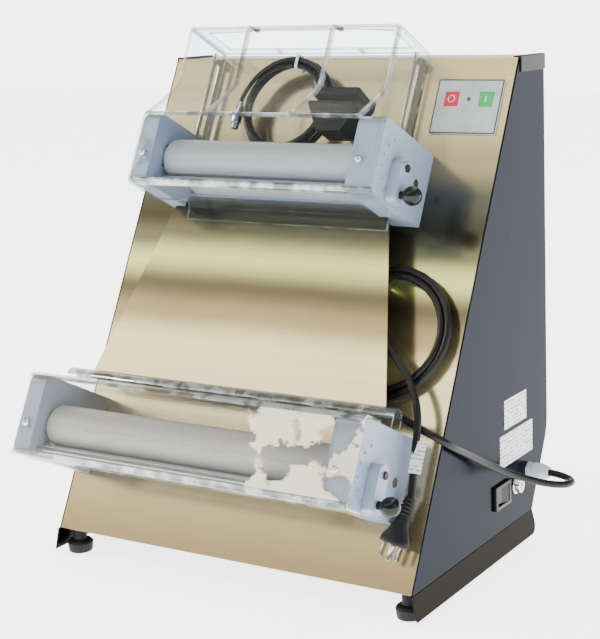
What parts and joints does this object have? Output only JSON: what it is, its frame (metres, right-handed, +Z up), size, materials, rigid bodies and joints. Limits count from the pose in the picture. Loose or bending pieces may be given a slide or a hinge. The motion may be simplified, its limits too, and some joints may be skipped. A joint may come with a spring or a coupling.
{
  "type": "dough sheeter",
  "caption": "Countertop dough sheeter with an inclined stainless housing, two pairs of white rollers under clear covers, a chute between them and a foot pedal stored in the hopper.",
  "frame": {"origin": "on the table, under the middle of the machine's width and depth", "axes": "+X to the right as the operator faces the machine, +Y to its back, +Z up"},
  "size_m": [0.6134, 0.4626, 0.6789],
  "materials": {
    "stainless": "brushed",
    "hdpe": "satin white",
    "clear_plastic": "clear, polished",
    "bright_steel": "ground",
    "black_rubber": "matt",
    "black_plastic": "satin",
    "cable_sheath": "satin",
    "keypad_foil": "satin",
    "stop_red": "gloss",
    "start_green": "gloss",
    "lamp_lens": "gloss",
    "label_white": "matt",
    "gland_grey": "satin",
    "motor_paint": "satin grey",
    "box_grey": "satin",
    "pedal_grey": "satin"
  },
  "bodies": {
    "housing": {"front_panel": "stainless", "left_side_panel": "stainless", "right_side_panel": "stainless", "rear_panel": "stainless", "base_plate": "stainless", "skirts": "stainless", "rubber_feet": "black_rubber", "corner_caps": "black_plastic", "chute_plate": "stainless", "hopper_brackets": "stainless", "finger_guard": "clear_plastic", "bearing_plates": "stainless", "gearmotor": "motor_paint", "drive_chain": "bright_steel", "control_box": "box_grey", "keypad_panel": "keypad_foil", "status_lamp": "lamp_lens", "switch_frame": "black_plastic", "pedal_socket": "bright_steel", "rating_labels": "label_white", "cable_gland": "gland_grey", "upper_left_cheek": "hdpe", "upper_right_cheek": "hdpe", "upper_gear_cover": "hdpe", "hopper_cover": "clear_plastic", "lower_left_cheek": "hdpe", "lower_right_cheek": "hdpe", "lower_gear_cover": "hdpe", "lower_cover": "clear_plastic", "scrapers": "hdpe", "tie_rods": "bright_steel", "cover_screws": "bright_steel", "mains_lead": "cable_sheath", "mains_coil": "cable_sheath", "mains_tail": "cable_sheath", "mains_plug": "cable_sheath", "pedal_base": "black_plastic", "pedal_coil": "cable_sheath", "pedal_connector": "bright_steel"},
    "upper_fixed_roller_body": {"upper_fixed_roller": "hdpe", "upper_fixed_shaft": "bright_steel"},
    "upper_carriage": {"upper_carriages": "bright_steel"},
    "upper_moving_roller_body": {"upper_moving_roller": "hdpe", "upper_moving_shaft": "bright_steel"},
    "upper_lever_body": {"upper_lever": "hdpe"},
    "upper_knob_body": {"upper_lever_knob": "black_plastic"},
    "lower_fixed_roller_body": {"lower_fixed_roller": "hdpe", "lower_fixed_shaft": "bright_steel"},
    "lower_carriage": {"lower_carriages": "bright_steel"},
    "lower_moving_roller_body": {"lower_moving_roller": "hdpe", "lower_moving_shaft": "bright_steel"},
    "lower_lever_body": {"lower_lever": "hdpe"},
    "lower_knob_body": {"lower_lever_knob": "black_plastic"},
    "upper_lay_body": {"upper_lay_shaft": "bright_steel"},
    "lower_lay_body": {"lower_lay_shaft": "bright_steel"},
    "drive_sprocket_body": {"drive_sprocket": "bright_steel"},
    "stop_button_body": {"stop_button": "stop_red"},
    "start_button_body": {"start_button": "start_green"},
    "rocker_body": {"power_rocker": "black_plastic"},
    "treadle_body": {"pedal_treadle": "pedal_grey"}
  },
  "joints": [
    {"name": "lower_fixed_roller_turn", "type": "hinge", "parent": "housing", "child": "lower_fixed_roller_body", "pos_m": [0, -0.12363, 0.15853], "axis": [1, 0, 0], "continuous": true},
    {"name": "upper_fixed_roller_turn", "type": "hinge", "parent": "housing", "child": "upper_fixed_roller_body", "pos_m": [0, 0.04537, 0.48318], "axis": [1, 0, 0], "continuous": true},
    {"name": "upper_lay_shaft_turn", "type": "hinge", "parent": "housing", "child": "upper_lay_body", "pos_m": [0, 0.09505, 0.45732], "axis": [1, 0, 0], "continuous": true},
    {"name": "upper_gap_slide", "type": "slide", "parent": "housing", "child": "upper_carriage", "axis": [0, -0.887, 0.4617], "range_m": [0, 0.0033]},
    {"name": "upper_moving_roller_turn", "type": "hinge", "parent": "upper_carriage", "child": "upper_moving_roller_body", "pos_m": [0, -0.00314, 0.50843], "axis": [1, 0, 0], "continuous": true},
    {"name": "upper_lever_turn", "type": "hinge", "parent": "housing", "child": "upper_lever_body", "pos_m": [0.174, -0.00314, 0.50843], "axis": [-1, 0, 0], "range_deg": [0, 150]},
    {"name": "upper_knob_pull", "type": "slide", "parent": "upper_lever_body", "child": "upper_knob_body", "axis": [1, 0, 0], "range_m": [0, 0.006], "stiffness_N_per_m": 800},
    {"name": "lower_lay_shaft_turn", "type": "hinge", "parent": "housing", "child": "lower_lay_body", "pos_m": [0, -0.07395, 0.13267], "axis": [1, 0, 0], "continuous": true},
    {"name": "lower_gap_slide", "type": "slide", "parent": "housing", "child": "lower_carriage", "axis": [0, -0.887, 0.4617], "range_m": [0, 0.0033]},
    {"name": "lower_moving_roller_turn", "type": "hinge", "parent": "lower_carriage", "child": "lower_moving_roller_body", "pos_m": [0, -0.17214, 0.18379], "axis": [1, 0, 0], "continuous": true},
    {"name": "lower_lever_turn", "type": "hinge", "parent": "housing", "child": "lower_lever_body", "pos_m": [0.229, -0.17214, 0.18379], "axis": [-1, 0, 0], "range_deg": [0, 150]},
    {"name": "lower_knob_pull", "type": "slide", "parent": "lower_lever_body", "child": "lower_knob_body", "axis": [1, 0, 0], "range_m": [0, 0.006], "stiffness_N_per_m": 800},
    {"name": "drive_sprocket_turn", "type": "hinge", "parent": "housing", "child": "drive_sprocket_body", "pos_m": [0.17, 0.08554, 0.118], "axis": [1, 0, 0], "continuous": true},
    {"name": "stop_button_press", "type": "slide", "parent": "housing", "child": "stop_button_body", "axis": [0, 0.887, -0.4617], "range_m": [0, 0.0008], "stiffness_N_per_m": 500},
    {"name": "start_button_press", "type": "slide", "parent": "housing", "child": "start_button_body", "axis": [0, 0.887, -0.4617], "range_m": [0, 0.0008], "stiffness_N_per_m": 500},
    {"name": "power_rocker_tilt", "type": "hinge", "parent": "housing", "child": "rocker_body", "pos_m": [0.262, 0.08554, 0.084], "axis": [0, 0, 1], "range_deg": [0, 18]},
    {"name": "pedal_treadle_press", "type": "hinge", "parent": "housing", "child": "treadle_body", "pos_m": [0.057, 0.08222, 0.57561], "axis": [1, 0, 0], "range_deg": [0, 7], "stiffness_Nm_per_rad": 1.5}
  ],
  "couplings": [
    {"joint": "upper_lever_turn", "follows": "upper_gap_slide", "rad_per_m": 793.33},
    {"joint": "lower_lever_turn", "follows": "lower_gap_slide", "rad_per_m": 793.33},
    {"joint": "lower_moving_roller_turn", "follows": "lower_fixed_roller_turn", "ratio": -1},
    {"joint": "lower_lay_shaft_turn", "follows": "lower_fixed_roller_turn", "ratio": -1},
    {"joint": "upper_lay_shaft_turn", "follows": "lower_fixed_roller_turn", "ratio": -1},
    {"joint": "upper_fixed_roller_turn", "follows": "lower_fixed_roller_turn", "ratio": 1},
    {"joint": "upper_moving_roller_turn", "follows": "lower_fixed_roller_turn", "ratio": -1},
    {"joint": "drive_sprocket_turn", "follows": "lower_fixed_roller_turn", "ratio": -1}
  ]
}
